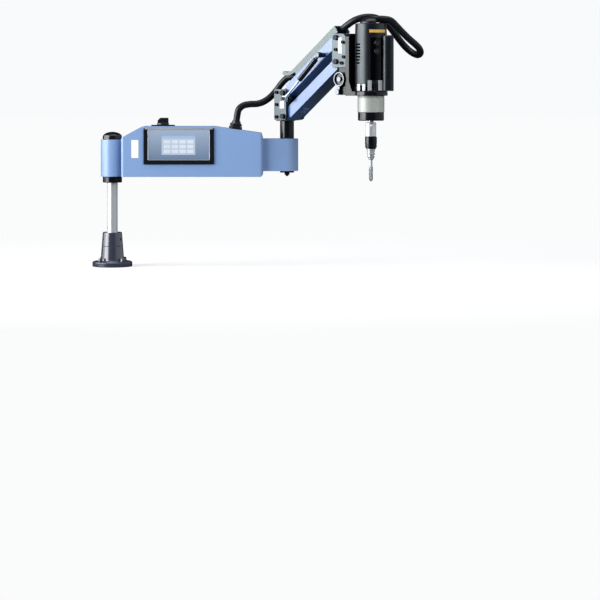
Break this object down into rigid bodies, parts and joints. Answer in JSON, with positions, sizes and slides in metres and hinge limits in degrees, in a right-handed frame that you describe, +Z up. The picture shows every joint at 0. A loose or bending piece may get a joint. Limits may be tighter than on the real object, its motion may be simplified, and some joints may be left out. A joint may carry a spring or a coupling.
{
  "type": "arm tapping machine",
  "caption": "Bench tapping arm: bolted column, swinging box arm with a touch screen, gas-sprung parallel link boom and an upright servo tapping head with quick-change chuck.",
  "frame": {"origin": "centre of the mounting bolt circle, on the underside of the base flange", "axes": "+Z up along the column, +X along the box arm at rest, the screen faces -Y"},
  "size_m": [0.9371, 0.3357, 0.7163],
  "materials": {
    "base_paint": "gloss slate enamel",
    "bright_chrome": "polished hard chrome",
    "screw_steel": "zinc-grey machined steel",
    "black_steel": "blackened steel, satin",
    "arm_paint": "pale blue enamel",
    "bearing_steel": "ground steel",
    "black_gloss": "gloss black",
    "black_matte": "moulded black plastic",
    "screen_glass": "cover glass",
    "display_dark": "moulded display housing",
    "board_green": "solder-masked board",
    "hose_black": "smooth black conduit",
    "bracket_silver": "machined plate",
    "bronze": "sintered bronze",
    "trough_grey": "grey sheet cover",
    "shell_gloss": "gloss graphite moulding",
    "gearbox_grey": "cast and turned aluminium",
    "tool_steel": "ground tool steel"
  },
  "bodies": {
    "base": {"base_flange": "base_paint", "column_sleeve": "base_paint", "column": "bright_chrome", "grub_screws": "screw_steel", "stop_collar": "black_steel"},
    "box_arm": {"arm_casting": "arm_paint", "hub_bearings": "bearing_steel", "hub_cap": "black_gloss", "arm_rear_cover": "arm_paint", "rear_cover_screws": "screw_steel", "screen_frame": "black_matte", "screen_glass": "screen_glass", "display_module": "display_dark", "control_board": "board_green", "switch_body": "black_matte", "cable_gland": "black_matte", "pivot_bearings": "bearing_steel", "hose_lower": "hose_black"},
    "switch_knob": {"switch_knob": "black_matte"},
    "yoke": {"pivot_shaft": "black_steel", "shaft_washer": "black_steel", "shaft_nut": "black_steel", "yoke_block": "bracket_silver", "yoke_near_plate": "bracket_silver", "yoke_far_plate": "bracket_silver", "yoke_bolts": "screw_steel"},
    "upper_link": {"upper_link": "arm_paint", "upper_link_bushes": "bronze", "cable_trough": "trough_grey", "gas_link_stud": "screw_steel"},
    "lower_link": {"lower_link": "arm_paint", "lower_link_bushes": "bronze"},
    "gas_tube": {"gas_spring_tube": "black_gloss"},
    "gas_rod": {"gas_spring_rod": "bright_chrome"},
    "head_bracket": {"head_near_plate": "bracket_silver", "head_far_plate": "bracket_silver", "head_web": "black_steel", "head_bolts": "screw_steel", "clamp_block": "black_steel", "hose_upper": "hose_black"},
    "clamp_lever": {"clamp_lever": "bright_chrome"},
    "head": {"swivel_plate": "black_steel", "trunnion": "screw_steel", "trunnion_nut": "screw_steel", "motor_adapter": "black_steel", "servo_motor": "black_steel", "motor_shell": "shell_gloss", "shell_cap": "shell_gloss", "connector_box": "shell_gloss", "head_gland": "black_matte", "gearbox_housing": "gearbox_grey", "gearbox_nose": "black_steel", "spindle_bearing": "bearing_steel"},
    "start_button": {"start_button": "black_gloss"},
    "reverse_button": {"reverse_button": "black_gloss"},
    "spindle": {"spindle": "bright_chrome", "tap_holder": "tool_steel", "tap": "tool_steel"},
    "chuck_sleeve": {"chuck_sleeve": "black_steel"}
  },
  "joints": [
    {"name": "column_swing", "type": "hinge", "parent": "base", "child": "box_arm", "pos_m": [0, 0, 0.3], "axis": [0, 0, 1], "range_deg": [-180, 180]},
    {"name": "boom_swing", "type": "hinge", "parent": "box_arm", "child": "yoke", "pos_m": [0.5, 0, 0.366], "axis": [0, 0, 1], "range_deg": [-75, 165], "deforming": ["hose_lower"]},
    {"name": "lift", "type": "hinge", "parent": "yoke", "child": "upper_link", "pos_m": [0.51414, -0.01414, 0.4965], "axis": [-0.7071, -0.7071, 0], "range_deg": [-57, 12]},
    {"name": "lower_link_turn", "type": "hinge", "parent": "yoke", "child": "lower_link", "pos_m": [0.51414, -0.01414, 0.4295], "axis": [-0.7071, -0.7071, 0], "range_deg": [-57, 12]},
    {"name": "head_level", "type": "hinge", "parent": "upper_link", "child": "head_bracket", "pos_m": [0.66231, -0.16231, 0.65042], "axis": [-0.7071, -0.7071, 0], "range_deg": [-12, 57]},
    {"name": "gas_tube_turn", "type": "hinge", "parent": "upper_link", "child": "gas_tube", "pos_m": [0.59069, -0.15575, 0.60237], "axis": [-0.7071, -0.7071, 0], "range_deg": [-4, 1]},
    {"name": "gas_rod_turn", "type": "hinge", "parent": "yoke", "child": "gas_rod", "pos_m": [0.49328, -0.05834, 0.4797], "axis": [-0.7071, -0.7071, 0], "range_deg": [-61, 13]},
    {"name": "head_swivel", "type": "hinge", "parent": "head_bracket", "child": "head", "pos_m": [0.67893, -0.17893, 0.53442], "axis": [0.7071, -0.7071, 0], "range_deg": [-90, 90], "deforming": ["hose_upper"]},
    {"name": "lever_turn", "type": "hinge", "parent": "head_bracket", "child": "clamp_lever", "pos_m": [0.65234, -0.19901, 0.53442], "axis": [-0.7071, -0.7071, 0], "range_deg": [-80, 0]},
    {"name": "spindle_turn", "type": "hinge", "parent": "head", "child": "spindle", "pos_m": [0.73267, -0.23267, 0.40042], "axis": [0, 0, -1], "continuous": true},
    {"name": "sleeve_slide", "type": "slide", "parent": "spindle", "child": "chuck_sleeve", "axis": [0, 0, -1], "range_m": [0, 0.005], "stiffness_N_per_m": 800, "springref_m": -0.003},
    {"name": "start_press", "type": "slide", "parent": "head", "child": "start_button", "axis": [-0.3746, 0.9272, 0], "range_m": [0, 0.002], "stiffness_N_per_m": 400, "springref_m": -0.001},
    {"name": "reverse_press", "type": "slide", "parent": "head", "child": "reverse_button", "axis": [-0.3746, 0.9272, 0], "range_m": [0, 0.002], "stiffness_N_per_m": 400, "springref_m": -0.001},
    {"name": "knob_turn", "type": "hinge", "parent": "box_arm", "child": "switch_knob", "pos_m": [0.145, 0, 0.405], "axis": [0, 0, 1], "range_deg": [0, 90]}
  ],
  "couplings": [
    {"joint": "lower_link_turn", "follows": "lift", "ratio": 1},
    {"joint": "head_level", "follows": "lift", "ratio": -1},
    {"joint": "gas_tube_turn", "follows": "lift", "ratio": 0.06},
    {"joint": "gas_rod_turn", "follows": "lift", "ratio": 1.055}
  ]
}
